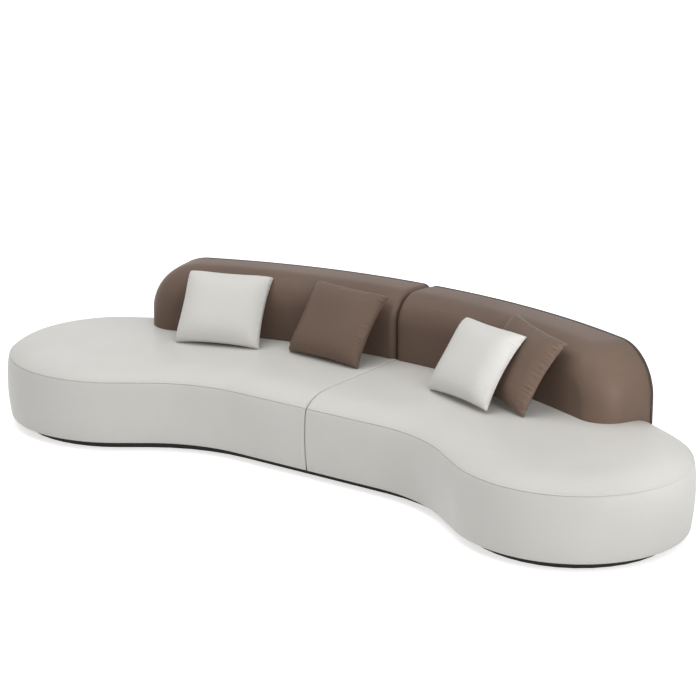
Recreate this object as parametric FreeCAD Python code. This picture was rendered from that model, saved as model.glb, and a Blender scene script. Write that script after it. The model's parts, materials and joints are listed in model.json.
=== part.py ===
import FreeCAD
import Part
import math
import os

# Two-piece curved floor sofa: a kidney-shaped seat on a recessed plinth, split at its middle,
# with a rolled, curved backrest on each half and four loose cushions.
# Millimetres. +X runs along the sofa, +Y to the back, +Z up. The origin is on the floor,
# under the middle of the sofa's length and depth.

Vec = FreeCAD.Vector

# Plan of the seat, at the fullest line of its side
front_straight = 399.0          # straight front edge, from the split to the waist
waist_radius = 692.0            # hollow curve where the lobe swings forward
waist_turn = 35.5               # degrees turned by that hollow curve
waist_run = 152.0               # straight run between the hollow curve and the lobe
lobe_front_radius = 586.5       # rounded front of the lobe
lobe_lean = 3.4                 # degrees past square where the lobe's end curve takes over
lobe_end_radius = 512.0         # rounded end of the lobe
middle_depth = 1045.5           # front to back at the split
split_gap = 4.0                 # between the two halves
chord_sag = 2.0                 # hidden boards follow the curves in flats, this far off them

# Heights of the seat
plinth_height = 46.0
board = 18.0                    # plywood of the base and the deck
frame_height = 168.0            # clear height between base and deck
webbing = 2.0                   # thickness of the straps
seam_height = 335.0             # seam between side band and top panel
crown = 54.0                    # rise of the top panel above the seam

# Form of the upholstered seat
fullest_height = 200.0          # where the side band stands out furthest
hem_inset = 14.0                # side band drawn in at its lower hem
seam_inset = 12.0               # side band drawn in at the seam
shoulder = 300.0                # width over which the top panel rises
shoulder_power = 4.2            # how quickly the shoulder flattens out
shoulder_shares = (0.0, 0.06, 0.16, 0.37, 1.0)  # where the shoulder's bands meet

# Layers under the leather
hide = 2.0                      # leather alone, at the hem, the split and over the crown
side_lining = 18.0              # from the fullest line to the padding
side_padding = 20.0
side_ply = 6.0
hem_width = 40.0                # hem turned under the base
plinth_recess = 84.0            # plinth set back from the fullest line
plinth_ply = 18.0
deck_rail = 80.0                # width of the deck's rim
stud = 45.0                     # square frame stud
# plan edge, from the front straight to the end: shares of its length where studs stand
stud_places = {0: (0.12, 0.9), 1: (0.5,), 2: (0.5,), 3: (0.3, 0.8), 4: (0.2, 0.55, 0.9)}
strap_width = 60.0
strap_pitch = 120.0
strap_landing = 20.0            # strap's end lying on the deck rim

# Backrest
rear_ledge = 44.0               # strip of seat behind the backrest
back_tightening = 100.0         # backrest's rear curve tighter than the seat's
back_thickness = 303.0
end_margin = 9.25               # degrees of the seat's rear curve left beyond the backrest's curve
end_run = 300.0                 # straight end of the backrest
total_height = 695.0
rear_drop = 13.0                # top's fall from the roll to the rear edge
end_corner = 230.0              # rounded top corner, seen from the front
front_roll = 138.0              # rolled front edge
roll_bands = 5                  # flat bands that make up the roll
foam_bands = 3                  # the same on the foam underneath
split_round = 34.0              # rounded edge beside the split
split_bands = 3                 # flat bands that make it up
back_wrap = 8.0                 # leather and wadding over the foam
split_wrap = 14.0               # the same beside the split
rear_hide = 3.0                 # leather panel on the rear
border_width = 17.0             # narrow strip along the rear edge
back_ply = 12.0
ply_margin = 30.0               # back panel's edge to the foam's edge
post_depth = 40.0
post_width = 60.0
post_gap = 0.3                  # flat post to bent panel
post_shares = (0.19, 0.53, 0.87)  # shares of the backrest's curve
post_top_margin = 70.0          # post's end below the foam's top
bolt_radius = 4.0
bolt_head_radius = 8.0
bolt_head = 5.0
bolt_height = 0.6               # share of the frame's height

# Connectors between the halves
connector_plate = 3.0
connector_width = 40.0
connector_reach = 55.0          # tongue past the split
connector_anchor = 120.0        # plate behind the split
connector_places = (0.22, 0.72) # shares of the middle depth

# Loose cushions: corner to corner when filled
cushion_width = 420.0
cushion_height = 360.0
cushion_front = 58.0            # crown of the front face
cushion_rear = 36.0             # flatter rear face, resting on the backrest
# share of the crown, share of the outline, and bow of the sides in mm
cushion_levels = (
    (0.0, 1.0, -10.0),
    (0.3, 0.87, 10.0),
    (0.62, 0.7, 24.0),
    (0.87, 0.46, 32.0),
    (1.0, 0.2, 20.0),
)
fill_levels = ((0.0, 0.88), (0.4, 0.68), (0.8, 0.36))
cushion_steps = 6               # facets along each side
cushion_rise = 4.0              # lower corners above the seat's crown
# name: side, share of the backrest's curve, middle plane's distance off the roll in mm,
# and turn, lean and roll in degrees
cushion_places = {
    "left_outer_cushion": (-1, 0.87, 27.0, 19.6, 38.0, -0.3),
    "left_inner_cushion": (-1, 0.234, 42.0, -4.0, 36.6, -0.5),
    "right_front_cushion": (1, 0.64, 118.0, -21.5, 36.5, 2.5),
    "right_rear_cushion": (1, 0.814, 45.5, -26.0, 32.5, -3.6),
}

clearance = 0.5                 # slots and holes around what passes through
bolt_clearance = 0.3

# Levels and places worked out from the sizes above
base_top = plinth_height + board
deck_bottom = base_top + frame_height
deck_top = deck_bottom + board
pad_bottom = deck_top + webbing
crown_height = seam_height + crown
hem_bottom = plinth_height - hide
wall_inset = side_lining + side_padding
frame_inset = wall_inset + side_ply
split_x = split_gap / 2
turn = math.radians(waist_turn)
lean = math.radians(lobe_lean)

# How far the lobes stand forward of the straight front edge
lobe_reach = (waist_radius + lobe_front_radius) * (1 - math.cos(turn)) + waist_run * math.sin(turn)
front_y = (lobe_reach - middle_depth) / 2
rear_y = front_y + middle_depth

# Centres of the plan's curves
waist_centre = Vec(front_straight, front_y - waist_radius, 0)
run_end = waist_centre + Vec(math.sin(turn), math.cos(turn), 0) * waist_radius
run_end = run_end + Vec(math.cos(turn), -math.sin(turn), 0) * waist_run
lobe_centre = run_end + Vec(math.sin(turn), math.cos(turn), 0) * lobe_front_radius
to_end = Vec(math.sin(lean), -math.cos(lean), 0)
end_centre = lobe_centre + to_end * (lobe_front_radius - lobe_end_radius)
near_rear = rear_y - lobe_end_radius
rear_centre_y = (end_centre.dot(end_centre) - near_rear ** 2) / (2 * (end_centre.y - near_rear))
rear_centre = Vec(0, rear_centre_y, 0)
rear_radius = rear_y - rear_centre_y
end_turn = math.atan2(end_centre.y - rear_centre_y, end_centre.x) + math.pi / 2

back_rear_radius = rear_radius - back_tightening
back_arc = 180 - math.degrees(end_turn) - end_margin
post_angles = [back_arc * share for share in post_shares]
back_axis = Vec(split_x + split_round, rear_y - rear_ledge - back_rear_radius, 0)
back_front_radius = back_rear_radius - back_thickness
panel_front = back_thickness - rear_hide - back_ply
post_rear = panel_front - post_gap


def bow(centre, radius, start, end, outward):
    """Arc of the plan between two headings; outward is 1 on a left-hand curve, -1 on a right-hand one."""
    def at(heading):
        side = Vec(math.sin(heading), -math.cos(heading), 0)
        return centre + side * (radius * outward)
    return Part.Arc(at(start), at((start + end) / 2), at(end)).toShape()


def ends(edge):
    """Start and end of an edge in its own direction."""
    return edge.valueAt(edge.FirstParameter), edge.valueAt(edge.LastParameter)


def plan_edges():
    """Fullest line of the right half: six edges from the middle of the front round to the rear."""
    waist = bow(waist_centre, waist_radius, 0, -turn, -1)
    lobe = bow(lobe_centre, lobe_front_radius, -turn, lean, 1)
    end = bow(end_centre, lobe_end_radius, lean, end_turn, 1)
    rear = bow(rear_centre, rear_radius, end_turn, math.pi, 1)
    straight = Part.LineSegment(Vec(0, front_y, 0), ends(waist)[0]).toShape()
    run = Part.LineSegment(ends(waist)[1], ends(lobe)[0]).toShape()
    return [straight, waist, run, lobe, end, rear]


def is_curved(edge):
    """Whether an edge of the plan is an arc."""
    return hasattr(edge.Curve, "Radius")


def inward_at(edge, t):
    """Direction into the seat from a place on an edge of the plan."""
    along = edge.tangentAt(t)
    return Vec(-along.y, along.x, 0)


def flats(edge, inset):
    """Points of one plan edge, drawn in by inset; curves are followed in short flats."""
    span = edge.LastParameter - edge.FirstParameter
    count = 1
    if is_curved(edge):
        count = math.ceil(span / (2 * math.acos(1 - chord_sag / edge.Curve.Radius)))
    places = [edge.FirstParameter + span * i / count for i in range(count + 1)]
    return [edge.valueAt(t) + inward_at(edge, t) * inset for t in places]


def cut_off(inner, outer, split):
    """Point between two others that lies on the face of the split."""
    return inner + (outer - inner) * ((split - inner.x) / (outer.x - inner.x))


def outline(inset, split, first=0, last=5):
    """Run of points along some of the plan's edges, ending on the split where it reaches it."""
    points = []
    for edge in plan_edges()[first:last + 1]:
        run = flats(edge, inset)
        points += run[1:] if points else run
    if first == 0:
        points[0] = cut_off(points[1], points[0], split)
    if last == 5:
        points[-1] = cut_off(points[-2], points[-1], split)
    return points


def facet(points):
    """Flat face through points."""
    return Part.Face(Part.makePolygon(points + points[:1]))


def upright(points, low, high):
    """Upright block on a run of points."""
    raised = [p + Vec(0, 0, low) for p in points]
    return facet(raised).extrude(Vec(0, 0, high - low))


def plan_block(inset, split, low, high):
    """Upright block with the half plan as its outline."""
    return upright(outline(inset, split), low, high)


def plan_rail(first, last, outer, inner, low, high):
    """Bent board along some of the plan's edges, between two insets."""
    outside = outline(outer, split_x, first, last)
    inside = outline(inner, split_x, first, last)
    return upright(outside + inside[::-1], low, high)


def carried(section, split):
    """Carries an upright section, given by inset and height, round the half plan."""
    solids = []
    for edge in plan_edges():
        start, finish = ends(edge)
        inward = inward_at(edge, edge.FirstParameter)
        face = facet([start + inward * inset + Vec(0, 0, z) for inset, z in section])
        if is_curved(edge):
            sweep = math.degrees(edge.LastParameter - edge.FirstParameter)
            solids.append(face.revolve(edge.Curve.Center, edge.Curve.Axis, sweep))
        else:
            solids.append(face.extrude(finish - start))
    whole = solids[0].multiFuse(solids[1:]).removeSplitter()
    near = Part.makeBox(split, 4 * middle_depth, 2 * total_height, Vec(0, -2 * middle_depth, 0))
    return whole.cut(near)


def shoulder_height(share):
    """Height of the top panel at a share of the shoulder's width."""
    return seam_height + crown * (1 - (1 - share) ** shoulder_power)


def seat_dome():
    """Outer form of the top panel: a rounded rim carried round a flat middle."""
    inner = seam_inset + shoulder
    rim = [(seam_inset + shoulder * share, shoulder_height(share)) for share in shoulder_shares]
    middle = plan_block(inner - chord_sag * 2, split_x, seam_height, crown_height)
    return carried(rim + [(inner, seam_height)], split_x).fuse(middle).removeSplitter()


def side_inset(z):
    """How far the side band is drawn in at a height."""
    if z < fullest_height:
        return hem_inset * ((z - fullest_height) / (hem_bottom - fullest_height)) ** 2
    return seam_inset * ((z - fullest_height) / (seam_height - fullest_height)) ** 2


def side_cover():
    """Side band: bulged outside, upright against the padding, its hem turned under the base."""
    heights = [hem_bottom, (hem_bottom + fullest_height) / 2, fullest_height,
               (fullest_height + seam_height) / 2, seam_height]
    hem_end = hem_inset + hem_width
    section = [(side_inset(z), z) for z in heights] + [(hem_end, seam_height), (hem_end, hem_bottom)]
    inside = plan_block(side_lining, 0.0, plinth_height, seam_height)
    under = plan_block(hem_end - chord_sag * 2, 0.0, hem_bottom, plinth_height)
    return carried(section, split_x).cut(inside.fuse(under))


def back_point(depth, z):
    """Place on the backrest's section where its curve starts, by depth behind the front face."""
    return Vec(back_axis.x, back_axis.y + back_front_radius + depth, z)


def upright_bars(width, depth, front, low, high, extra):
    """Square bars on the places of the backrest's posts."""
    bars = []
    for angle in post_angles:
        bar = Part.makeBox(width + 2 * extra, depth + 2 * extra, high - low,
                           Vec(-width / 2 - extra, -extra, 0))
        bars.append(radial(bar, angle, front, low))
    return bars


def back_slots(low, high, extra):
    """Room for the backrest's posts."""
    return upright_bars(post_width, post_depth, post_rear - post_depth, low, high, extra)


def back_section(inset, rear, low, bands):
    """Section of the backrest by depth and height: upright front, top rolled in bands, upright rear."""
    top = total_height - inset
    roll = front_roll - inset
    rear_depth = back_thickness - rear
    fall = rear_drop * (rear_depth - front_roll) / (back_thickness - front_roll)
    points = [(rear_depth, low), (rear_depth, top - fall)]
    for i in range(bands + 1):
        turned = math.radians(90 * i / bands)
        points.append((front_roll - roll * math.sin(turned), top - roll + roll * math.cos(turned)))
    return points + [(inset, low)]


def along_back(face, start, run):
    """Carries a section from a place beside the split along the curve and the straight end."""
    curve = face.revolve(back_axis, Vec(0, 0, -1), back_arc)
    tail = face.extrude(Vec(run, 0, 0))
    tail.rotate(back_axis, Vec(0, 0, 1), -back_arc)
    if start < back_axis.x:
        curve = curve.fuse(face.extrude(Vec(start - back_axis.x, 0, 0)))
    return curve.fuse(tail)


def back_end(inset, rear, low, bands):
    """Rounded top corner at the end, and the upright end below it."""
    pivot = Vec(back_axis.x + end_run - end_corner, 0, total_height - end_corner)
    face = facet([back_point(d, z) for d, z in back_section(inset, rear, pivot.z, bands)])
    face.translate(Vec(pivot.x - back_axis.x, 0, 0))
    corner = face.revolve(pivot, Vec(0, 1, 0), 90)
    face.rotate(pivot, Vec(0, 1, 0), 90)
    end = corner.fuse(face.extrude(Vec(0, 0, low - pivot.z)))
    end.rotate(back_axis, Vec(0, 0, 1), -back_arc)
    return end


def back_body(inset, rear, low, start, bands):
    """Curved slab with rolled front edges, square beside the split."""
    face = facet([back_point(d, z) for d, z in back_section(inset, rear, low, bands)])
    slab = along_back(face, start, end_run - end_corner)
    return slab.fuse(back_end(inset, rear, low, bands)).removeSplitter()


def faceted(outlines):
    """Closed solid through a stack of outlines, in flat three-sided facets."""
    faces = [facet(outlines[0][::-1]), facet(outlines[-1])]
    count = len(outlines[0])
    for low, high in zip(outlines, outlines[1:]):
        for i in range(count):
            j = (i + 1) % count
            faces.append(facet([low[i], low[j], high[j]]))
            faces.append(facet([low[i], high[j], high[i]]))
    return Part.Solid(Part.Shell(faces))


def split_edge(low):
    """Rounded edge of the backrest beside the split."""
    outlines = []
    for i in range(split_bands + 1):
        turned = math.radians(90 * i / split_bands)
        inset = split_round * (1 - math.sin(turned))
        back_by = Vec(-split_round * math.cos(turned), 0, 0)
        outlines.append([back_point(d, z) + back_by for d, z in back_section(inset, 0.0, low, roll_bands)])
    return faceted(outlines).removeSplitter()


def back_form():
    """Outer form of the upholstered backrest, standing on the seam's level."""
    body = back_body(0.0, 0.0, seam_height, back_axis.x, roll_bands)
    return body.fuse(split_edge(seam_height)).removeSplitter()


def back_layer(first, last):
    """Curved sheet between two depths, larger than the backrest all round."""
    high = 2 * total_height
    face = facet([back_point(first, 0), back_point(last, 0), back_point(last, high),
                  back_point(first, high)])
    return along_back(face, 0.0, 2 * end_run)


def radial(shape, angle, depth, z):
    """Places a shape drawn along +Y at an angle, depth and height on the backrest."""
    shape.translate(back_point(depth, z))
    shape.rotate(back_axis, Vec(0, 0, 1), -angle)
    return shape


def bolt_line(radius, extra):
    """Shanks on the places of the bolts through posts and studs."""
    length = post_depth + stud + 2 * extra
    z = base_top + frame_height * bolt_height
    return [radial(prism(8, radius, length), angle, post_rear + extra - length, z) for angle in post_angles]


def prism(sides, radius, depth):
    """Straight rod along +Y with a number of equal sides."""
    corners = []
    for i in range(sides):
        turned = math.radians(360 * i / sides)
        corners.append(Vec(radius * math.cos(turned), 0, radius * math.sin(turned)))
    return facet(corners).extrude(Vec(0, depth, 0))


def bolts():
    """Bolts with a head behind the post and a nut in front of the stud."""
    z = base_top + frame_height * bolt_height
    made = []
    for angle, shank in zip(post_angles, bolt_line(bolt_radius, bolt_head / 2)):
        head = radial(prism(6, bolt_head_radius, bolt_head), angle, post_rear, z)
        nut = radial(prism(6, bolt_head_radius, bolt_head), angle,
                     post_rear - post_depth - stud - bolt_head, z)
        made.append(shank.multiFuse([head, nut]).removeSplitter())
    return Part.makeCompound(made)


def rear_studs():
    """Studs in front of the posts, drilled for the bolts."""
    holes = bolt_line(bolt_radius + bolt_clearance, bolt_head)
    bars = upright_bars(stud, stud, post_rear - post_depth - stud, base_top, deck_bottom, 0.0)
    return [bar.cut(holes) for bar in bars]


def rim_studs():
    """Studs round the front and end of the frame, flat against the side wall."""
    made = []
    for index, shares in stud_places.items():
        points = flats(plan_edges()[index], frame_inset)
        for share in shares:
            flat = int(share * (len(points) - 1))
            along = points[flat + 1] - points[flat]
            middle = points[flat] + along * (0.5 if len(points) > 2 else share)
            block = Part.makeBox(stud, stud, frame_height, Vec(-stud / 2, 0, 0))
            block.rotate(Vec(0, 0, 0), Vec(0, 0, 1), math.degrees(math.atan2(along.y, along.x)))
            block.translate(middle + Vec(0, 0, base_top))
            made.append(block)
    return made


def split_panel():
    """Flat leather panel that closes the seat's side along the split."""
    outer = plan_block(side_lining, split_x, plinth_height, seam_height)
    inner = plan_block(side_lining, split_x + hide, plinth_height, seam_height)
    return outer.cut(inner)


def seat_pad():
    """Seat foam under the top panel, slit for the posts."""
    block = plan_block(side_lining, split_x + hide, pad_bottom, seam_height)
    return block.cut(back_slots(pad_bottom, seam_height, clearance))


def ring(outer, inner, split_out, split_in, low, high):
    """Upright wall following the half plan and the split."""
    return plan_block(outer, split_out, low, high).cut(plan_block(inner, split_in, low, high))


def seat_deck():
    """Plywood rim under the webbing, with mortises for the posts."""
    split = split_x + hide
    inner = wall_inset + deck_rail
    rim = ring(wall_inset, inner, split, split + deck_rail, deck_bottom, deck_top)
    return rim.cut(back_slots(deck_bottom, deck_top, clearance))


def seat_webbing():
    """Straps from front to back over the deck's opening."""
    inset = wall_inset + deck_rail - strap_landing
    sheet = plan_block(inset, split_x + hide, deck_top, pad_bottom)
    reach = end_centre.x + lobe_end_radius - inset
    x = split_x + hide + deck_rail + strap_pitch / 2
    straps = []
    while x + strap_width < reach - deck_rail:
        lane = Part.makeBox(strap_width, 4 * middle_depth, webbing, Vec(x, -2 * middle_depth, deck_top))
        straps.append(sheet.common(lane))
        x += strap_pitch
    slots = back_slots(deck_top, pad_bottom, clearance)
    return Part.makeCompound([s.cut(slots) for s in straps])


def connector_y(share):
    """Place of a connector along the split."""
    return front_y + middle_depth * share


def connector_tongues():
    """Flat tongues under the right half's base, each with the packing piece that fixes it."""
    made = []
    for share in connector_places:
        y = connector_y(share) - connector_width / 2
        low = plinth_height - 2 * connector_plate
        anchor = split_x + connector_anchor
        blade = Part.makeBox(connector_reach + anchor, connector_width, connector_plate,
                             Vec(-connector_reach, y, low))
        x = split_x + plinth_ply + connector_width / 2
        pack = Part.makeBox(anchor - x, connector_width, connector_plate, Vec(x, y, low + connector_plate))
        made.append(blade.fuse(pack).removeSplitter())
    return Part.makeCompound(made)


def connector_sockets():
    """Channels under the left half's base that take the tongues."""
    made = []
    depth = 2 * connector_plate + clearance
    for share in connector_places:
        width = connector_width + 2 * clearance + 2 * connector_plate
        y = connector_y(share) - width / 2
        low = plinth_height - depth - connector_plate
        x = -split_x - plinth_ply - connector_reach
        channel = Part.makeBox(connector_reach, width, depth + connector_plate, Vec(x, y, low))
        room = Part.makeBox(connector_reach, width - 2 * connector_plate, depth,
                            Vec(x, y + connector_plate, low + connector_plate))
        made.append(channel.cut(room))
    return Part.makeCompound(made)


def split_rail():
    """Straight plinth board along the split, notched for the connectors."""
    inset = plinth_recess + plinth_ply
    outer = plan_block(inset, split_x, 0, plinth_height)
    rail = outer.cut(plan_block(inset, split_x + plinth_ply, 0, plinth_height))
    notches = []
    for share in connector_places:
        depth = 2 * connector_plate + 2 * clearance
        width = connector_width + 4 * clearance
        notches.append(Part.makeBox(plinth_ply + split_gap, width, depth,
                                    Vec(0, connector_y(share) - width / 2, plinth_height - depth)))
    return rail.cut(notches)


def back_panel():
    """Bent plywood behind the backrest's foam."""
    slab = back_body(back_wrap + ply_margin, rear_hide, crown_height + ply_margin, back_axis.x, 1)
    return slab.common(back_layer(panel_front, panel_front + back_ply))


def half_pieces():
    """Every piece of the right half by its name."""
    recess = plinth_recess
    inner = plinth_recess + plinth_ply
    post_top = total_height - back_wrap - post_top_margin
    holes = bolt_line(bolt_radius + bolt_clearance, bolt_head)
    posts = Part.makeCompound([bar.cut(holes) for bar in back_slots(base_top, post_top, 0.0)])
    panel = back_panel()
    core = back_body(back_wrap, rear_hide, seam_height, split_x + split_wrap, foam_bands)
    form = back_form()
    wrap = form.cut(core)
    rear_face = back_thickness - rear_hide
    border_face = back_thickness - border_width
    split = split_x + hide
    wall_split = split + side_ply + bolt_clearance
    return {
        "plinth_front_rail": plan_rail(0, 3, recess, inner, 0, plinth_height),
        "plinth_end_rail": plan_rail(4, 4, recess, inner, 0, plinth_height),
        "plinth_rear_rail": plan_rail(5, 5, recess, inner, 0, plinth_height),
        "plinth_split_rail": split_rail(),
        "base_board": plan_block(side_lining, split, plinth_height, base_top),
        "side_wall": ring(wall_inset, frame_inset, split, wall_split, base_top, deck_bottom),
        "frame_studs": Part.makeCompound(rim_studs() + rear_studs()),
        "seat_deck": seat_deck(),
        "seat_webbing": seat_webbing(),
        "side_padding": plan_block(side_lining, split, base_top, pad_bottom).cut(
            plan_block(wall_inset, split, base_top, pad_bottom)),
        "seat_foam": seat_pad(),
        "seat_side_cover": side_cover(),
        "seat_split_panel": split_panel(),
        "seat_top_cover": seat_dome().cut(form),
        "back_posts": posts,
        "back_bolts": bolts(),
        "back_panel": panel,
        "back_foam": core.cut(panel).cut(back_slots(seam_height, post_top, 0.0)),
        "back_front_cover": wrap.cut(back_layer(border_face, back_thickness + hide)),
        "back_border": wrap.common(back_layer(border_face, rear_face)),
        "back_rear_cover": wrap.common(back_layer(rear_face, back_thickness + hide)),
    }


def cushion_outline(share, sag, level, steps):
    """Points of a four-sided outline with bowed sides, at one level of a cushion."""
    u = cushion_width / 2 * share
    v = cushion_height / 2 * share
    corners = [Vec(-u, -v, level), Vec(u, -v, level), Vec(u, v, level), Vec(-u, v, level)]
    outward = [Vec(0, -1, 0), Vec(1, 0, 0), Vec(0, 1, 0), Vec(-1, 0, 0)]
    points = []
    for i in range(4):
        for step in range(steps):
            t = step / steps
            straight = corners[i] * (1 - t) + corners[(i + 1) % 4] * t
            points.append(straight + outward[i] * (sag * 4 * t * (1 - t)))
    return points


def cushion_form():
    """Filled cushion: pointed corners, sides drawn in, crowned faces."""
    below = [(-cushion_rear * h, s, sag) for h, s, sag in cushion_levels[:0:-1]]
    above = [(cushion_front * h, s, sag) for h, s, sag in cushion_levels]
    return faceted([cushion_outline(s, sag, z, cushion_steps) for z, s, sag in below + above])


def cushion_fill():
    """Fibre pad inside the cushion's cover."""
    below = [(-cushion_rear * h, s) for h, s in fill_levels[:0:-1]]
    above = [(cushion_front * h, s) for h, s in fill_levels]
    return faceted([cushion_outline(s, 0.0, z, 1) for z, s in below + above])


def placed(shape, side, share, off_roll, turned, leaned, rolled_by):
    """Stands a cushion on the seat, leaned back on the roll, turned and rolled in its own plane."""
    shape = shape.copy()
    shape.rotate(Vec(0, 0, 0), Vec(0, 0, 1), rolled_by)
    shape.rotate(Vec(0, 0, 0), Vec(1, 0, 0), 90 - leaned)
    shape.rotate(Vec(0, 0, 0), Vec(0, 0, 1), turned)
    slope = math.radians(leaned)
    drop = cushion_width / 2 * math.sin(math.radians(abs(rolled_by)))
    drop += cushion_height / 2 * math.cos(math.radians(rolled_by))
    z = crown_height + cushion_rise + drop * math.cos(slope)
    roll_above = total_height - front_roll - z
    depth = front_roll - (front_roll + off_roll + roll_above * math.sin(slope)) / math.cos(slope)
    along = math.radians(back_arc * share)
    middle = back_axis + Vec(math.sin(along), math.cos(along), 0) * (back_front_radius + depth)
    shape.translate(Vec(side * middle.x, middle.y, z))
    return shape


def save(name, shape):
    """Writes one piece to its own file."""
    shape.exportStep(os.path.join("parts", name + ".step"))


def build():
    """Makes every piece and writes it."""
    os.makedirs("parts", exist_ok=True)
    for name, shape in half_pieces().items():
        save("right_" + name, shape)
        save("left_" + name, shape.mirror(Vec(0, 0, 0), Vec(1, 0, 0)))
    save("connector_tongues", connector_tongues())
    save("connector_sockets", connector_sockets())
    form = cushion_form()
    fill = cushion_fill()
    for name, place in cushion_places.items():
        save(name + "_cover", placed(form.cut(fill), *place))
        save(name + "_fill", placed(fill, *place))


build()
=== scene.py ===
"""Low curved floor sofa in two halves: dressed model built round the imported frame."""

import json
import logging
import math
from collections.abc import Callable
from dataclasses import dataclass, field
from enum import Enum, IntEnum

import bmesh
import bpy
import numpy as np
from bpy.types import Material, Mesh, Node, NodeSocket, NodeTree, Object
from mathutils import Matrix, Vector


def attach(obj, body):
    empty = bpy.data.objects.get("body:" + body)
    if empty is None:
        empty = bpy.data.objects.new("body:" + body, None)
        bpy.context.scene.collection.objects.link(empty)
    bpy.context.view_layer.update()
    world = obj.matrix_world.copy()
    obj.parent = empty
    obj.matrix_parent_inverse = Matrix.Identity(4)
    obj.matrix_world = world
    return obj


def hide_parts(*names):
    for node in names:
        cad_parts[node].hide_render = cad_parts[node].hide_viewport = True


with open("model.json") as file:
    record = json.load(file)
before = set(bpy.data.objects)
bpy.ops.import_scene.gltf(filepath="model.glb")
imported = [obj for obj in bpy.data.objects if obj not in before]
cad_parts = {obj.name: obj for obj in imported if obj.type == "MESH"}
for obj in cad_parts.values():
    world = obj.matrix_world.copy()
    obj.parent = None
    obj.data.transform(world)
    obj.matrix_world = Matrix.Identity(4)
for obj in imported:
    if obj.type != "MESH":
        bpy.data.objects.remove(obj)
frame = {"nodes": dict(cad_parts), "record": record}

LOG = logging.getLogger("floor_sofa")
MM = 0.001
STITCH_WELD = 0.001


class Side(Enum):
    """The two halves of the sofa; the value mirrors the right half's X."""

    RIGHT = 1
    LEFT = -1

    @property
    def word(self) -> str:
        """Name of the half as its nodes and body spell it."""
        return self.name.lower()

    @property
    def body(self) -> str:
        """Body that this half rides on."""
        return f"{self.word}_module"


class Hide(Enum):
    """The leathers of the sofa; the first two are named as the record's slots, and the third is a near-black
    brown that paints the shade along the backrest's rear top edge.
    """

    PALE = "pale_leather"
    BROWN = "brown_leather"
    EDGE = "brown_leather_edge"


class Arc(IntEnum):
    """Curves of the seat's plan, in order from the front of the split to its rear."""

    WAIST = 0
    LOBE = 1
    END = 2
    REAR = 3


class Place(Enum):
    """Kinds of place along the backrest, from the split to the foot of its end."""

    SPLIT = "angle beside the split"
    CURVE = "angle on the curve"
    RUN = "run past the curve"
    CORNER = "angle of the end's top corner"
    DOWN = "height below the corner"


@dataclass
class Sheet:
    """Vertices and faces gathered for one piece, in millimetres."""

    points: list = field(default_factory=list)
    faces: list = field(default_factory=list)

    def add_grid(self, grid: np.ndarray, flip: bool = False, wrap: bool = False) -> np.ndarray:
        """Adds a grid of points and the quads between them.

        Args:
            grid: Points as rows by columns by three.
            flip: Turns the quads over.
            wrap: Joins the last column to the first.

        Returns:
            The index of each point, as rows by columns.
        """
        rows, cols = grid.shape[:2]
        index = np.arange(rows * cols).reshape(rows, cols) + len(self.points)
        self.points.extend(map(tuple, grid.reshape(-1, 3)))
        last = cols if wrap else cols - 1
        for i in range(rows - 1):
            for j in range(last):
                k = (j + 1) % cols
                quad = [index[i, j], index[i + 1, j], index[i + 1, k], index[i, k]]
                self.faces.append(quad[::-1] if flip else quad)
        return index

    def close_ends(self, index: np.ndarray) -> None:
        """Closes the first and the last row of a wrapped grid."""
        self.faces += [list(index[0]), list(index[-1][::-1])]

    def to_mesh(self, name: str, mirror: int = 1, weld: float = 0.02) -> Mesh:
        """Makes a mesh of the gathered points.

        Args:
            name: Name of the mesh.
            mirror: 1, or -1 to mirror it in X.
            weld: Points closer than this, in millimetres, become one.

        Returns:
            The mesh in metres, with its faces turned outward.
        """
        mesh = bpy.data.meshes.new(name)
        points = np.array(self.points, float) * MM
        points[:, 0] *= mirror
        mesh.from_pydata([tuple(p) for p in points], [], [list(map(int, f)) for f in self.faces])
        work = bmesh.new()
        work.from_mesh(mesh)
        bmesh.ops.remove_doubles(work, verts=work.verts, dist=weld * MM)
        bmesh.ops.dissolve_degenerate(work, edges=work.edges, dist=weld * MM)
        bmesh.ops.recalc_face_normals(work, faces=work.faces)
        for face in work.faces:
            face.smooth = True
        work.to_mesh(mesh)
        work.free()
        return mesh


def make_object(name: str, mesh: Mesh, material: Material) -> Object:
    """Links a mesh as an object with one material.

    Args:
        name: Name of the piece.
        mesh: Its mesh.
        material: Its finish.

    Returns:
        The new object.
    """
    piece = bpy.data.objects.new(name, mesh)
    mesh.materials.append(material)
    bpy.context.scene.collection.objects.link(piece)
    return piece


def make_piece(sheet: Sheet, side: Side, label: str, material: Material,
               weld: float = 0.02) -> Object:
    """Makes a piece of one half from its sheet, which is drawn for the right half."""
    name = f"{side.word}_{label}"
    return make_object(name, sheet.to_mesh(name, side.value, weld), material)


def mount(pieces: list[tuple], side: Side) -> list[Object]:
    """Ties pieces of one half to its body and hides the solids that they stand for.

    Args:
        pieces: Each piece, the endings of its solids' names and its fill, or None if it isn't padded; the
            fill is not used.
        side: The half.

    Returns:
        The pieces.
    """
    for piece, nodes, fill in pieces:
        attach(piece, side.body)
        if nodes:
            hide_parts(*(f"{side.word}_{node}" for node in nodes))
    return [piece for piece, _, _ in pieces]


def settle(piece: Object) -> None:
    """Applies a piece's modifiers to its mesh.

    Args:
        piece: The object to settle.
    """
    graph = bpy.context.evaluated_depsgraph_get()
    mesh = bpy.data.meshes.new_from_object(piece.evaluated_get(graph))
    piece.modifiers.clear()
    old = piece.data
    piece.data = mesh
    bpy.data.meshes.remove(old)
    for face in mesh.polygons:
        face.use_smooth = True


def thicken(piece: Object, depth: float) -> Object:
    """Gives a sheet a thickness inward.

    Args:
        piece: The sheet.
        depth: Thickness in millimetres.

    Returns:
        The same piece.
    """
    solid = piece.modifiers.new("thickness", "SOLIDIFY")
    solid.thickness = depth * MM
    solid.offset = -1.0
    solid.use_even_offset = False
    settle(piece)
    return piece


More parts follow.
